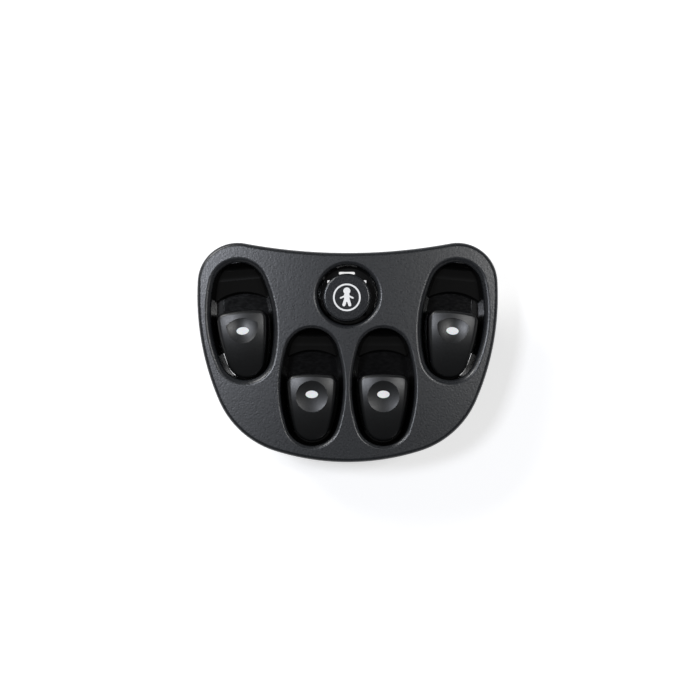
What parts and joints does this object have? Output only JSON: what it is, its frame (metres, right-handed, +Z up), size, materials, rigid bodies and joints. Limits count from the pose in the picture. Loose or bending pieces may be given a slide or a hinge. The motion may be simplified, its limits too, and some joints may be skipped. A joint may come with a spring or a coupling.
{
  "type": "power window switch",
  "caption": "Console window switch panel: a contoured bezel with pull-up rockers in oval wells, a round push button with a symbol, and a switch housing with a socket below.",
  "frame": {"origin": "centre of the overall box, on the flat underside of the base cover", "axes": "+X to the right across the bezel, +Y from the rocker tails towards their lips, +Z up out of the bezel"},
  "size_m": [0.118, 0.086, 0.0383],
  "materials": {
    "bezel_plastic": "fine matt grain",
    "case_plastic": "plain moulded",
    "cover_plastic": "plain moulded",
    "board_laminate": "solder resist",
    "connector_plastic": "plain moulded",
    "pin_metal": "tin plated",
    "screw_steel": "zinc plated",
    "clip_steel": "oiled spring steel",
    "button_plastic": "fine matt grain",
    "symbol_ink": "white",
    "module_plastic": "plain moulded",
    "module_plunger_plastic": "natural",
    "spring_steel": "drawn wire",
    "rocker_plastic": "satin",
    "lens_plastic": "opal white",
    "plunger_plastic": "natural",
    "contact_brass": "stamped",
    "cradle_brass": "stamped",
    "rivet_silver": "silver plated",
    "lamp_resin": "clear resin"
  },
  "bodies": {
    "housing": {"bezel": "bezel_plastic", "switch_case": "case_plastic", "base_cover": "cover_plastic", "circuit_board": "board_laminate", "connector_shroud": "connector_plastic", "connector_pins": "pin_metal", "case_screws": "screw_steel", "retaining_clip_left": "clip_steel", "retaining_clip_right": "clip_steel", "lock_switch_case": "module_plastic", "lock_spring": "spring_steel", "front_left_contact_cradle": "cradle_brass", "front_left_fixed_contacts": "rivet_silver", "front_left_lamp": "lamp_resin", "front_right_contact_cradle": "cradle_brass", "front_right_fixed_contacts": "rivet_silver", "front_right_lamp": "lamp_resin", "rear_left_contact_cradle": "cradle_brass", "rear_left_fixed_contacts": "rivet_silver", "rear_left_lamp": "lamp_resin", "rear_right_contact_cradle": "cradle_brass", "rear_right_fixed_contacts": "rivet_silver", "rear_right_lamp": "lamp_resin"},
    "front_left_rocker": {"front_left_rocker": "rocker_plastic", "front_left_lens": "lens_plastic", "front_left_spring": "spring_steel"},
    "front_left_plunger": {"front_left_plunger": "plunger_plastic"},
    "front_left_contact": {"front_left_rocking_contact": "contact_brass"},
    "front_right_rocker": {"front_right_rocker": "rocker_plastic", "front_right_lens": "lens_plastic", "front_right_spring": "spring_steel"},
    "front_right_plunger": {"front_right_plunger": "plunger_plastic"},
    "front_right_contact": {"front_right_rocking_contact": "contact_brass"},
    "rear_left_rocker": {"rear_left_rocker": "rocker_plastic", "rear_left_lens": "lens_plastic", "rear_left_spring": "spring_steel"},
    "rear_left_plunger": {"rear_left_plunger": "plunger_plastic"},
    "rear_left_contact": {"rear_left_rocking_contact": "contact_brass"},
    "rear_right_rocker": {"rear_right_rocker": "rocker_plastic", "rear_right_lens": "lens_plastic", "rear_right_spring": "spring_steel"},
    "rear_right_plunger": {"rear_right_plunger": "plunger_plastic"},
    "rear_right_contact": {"rear_right_rocking_contact": "contact_brass"},
    "lock_button": {"lock_button": "button_plastic", "lock_symbol": "symbol_ink", "lock_switch_plunger": "module_plunger_plastic"}
  },
  "joints": [
    {"name": "front_left_rocker_tilt", "type": "hinge", "parent": "housing", "child": "front_left_rocker", "pos_m": [-0.04052, 0.00314, 0.0295], "axis": [0.9954, 0.0958, 0], "range_deg": [-8, 8], "stiffness_Nm_per_rad": 0.4},
    {"name": "front_left_plunger_slide", "type": "slide", "parent": "front_left_rocker", "child": "front_left_plunger", "axis": [0, 0, 1], "range_m": [0, 0.0006], "stiffness_N_per_m": 400, "springref_m": -0.003, "deforming": ["front_left_spring"]},
    {"name": "front_left_contact_rock", "type": "hinge", "parent": "housing", "child": "front_left_contact", "pos_m": [-0.04052, 0.00314, 0.0191], "axis": [0.9954, 0.0958, 0], "range_deg": [-6.2, 6.2]},
    {"name": "front_right_rocker_tilt", "type": "hinge", "parent": "housing", "child": "front_right_rocker", "pos_m": [0.04052, 0.00314, 0.0295], "axis": [0.9954, -0.0958, 0], "range_deg": [-8, 8], "stiffness_Nm_per_rad": 0.4},
    {"name": "front_right_plunger_slide", "type": "slide", "parent": "front_right_rocker", "child": "front_right_plunger", "axis": [0, 0, 1], "range_m": [0, 0.0006], "stiffness_N_per_m": 400, "springref_m": -0.003, "deforming": ["front_right_spring"]},
    {"name": "front_right_contact_rock", "type": "hinge", "parent": "housing", "child": "front_right_contact", "pos_m": [0.04052, 0.00314, 0.0191], "axis": [0.9954, -0.0958, 0], "range_deg": [-6.2, 6.2]},
    {"name": "rear_left_rocker_tilt", "type": "hinge", "parent": "housing", "child": "rear_left_rocker", "pos_m": [-0.014, -0.0217, 0.0295], "axis": [1, 0, 0], "range_deg": [-8, 8], "stiffness_Nm_per_rad": 0.4},
    {"name": "rear_left_plunger_slide", "type": "slide", "parent": "rear_left_rocker", "child": "rear_left_plunger", "axis": [0, 0, 1], "range_m": [0, 0.0006], "stiffness_N_per_m": 400, "springref_m": -0.003, "deforming": ["rear_left_spring"]},
    {"name": "rear_left_contact_rock", "type": "hinge", "parent": "housing", "child": "rear_left_contact", "pos_m": [-0.014, -0.0217, 0.0191], "axis": [1, 0, 0], "range_deg": [-6.2, 6.2]},
    {"name": "rear_right_rocker_tilt", "type": "hinge", "parent": "housing", "child": "rear_right_rocker", "pos_m": [0.014, -0.0217, 0.0295], "axis": [1, 0, 0], "range_deg": [-8, 8], "stiffness_Nm_per_rad": 0.4},
    {"name": "rear_right_plunger_slide", "type": "slide", "parent": "rear_right_rocker", "child": "rear_right_plunger", "axis": [0, 0, 1], "range_m": [0, 0.0006], "stiffness_N_per_m": 400, "springref_m": -0.003, "deforming": ["rear_right_spring"]},
    {"name": "rear_right_contact_rock", "type": "hinge", "parent": "housing", "child": "rear_right_contact", "pos_m": [0.014, -0.0217, 0.0191], "axis": [1, 0, 0], "range_deg": [-6.2, 6.2]},
    {"name": "lock_button_press", "type": "slide", "parent": "housing", "child": "lock_button", "axis": [0, 0, -1], "range_m": [0, 0.0026], "stiffness_N_per_m": 700, "springref_m": -0.002, "deforming": ["lock_spring"]}
  ],
  "couplings": [
    {"joint": "front_left_contact_rock", "follows": "front_left_rocker_tilt", "ratio": -0.75},
    {"joint": "front_right_contact_rock", "follows": "front_right_rocker_tilt", "ratio": -0.75},
    {"joint": "rear_left_contact_rock", "follows": "rear_left_rocker_tilt", "ratio": -0.75},
    {"joint": "rear_right_contact_rock", "follows": "rear_right_rocker_tilt", "ratio": -0.75}
  ]
}
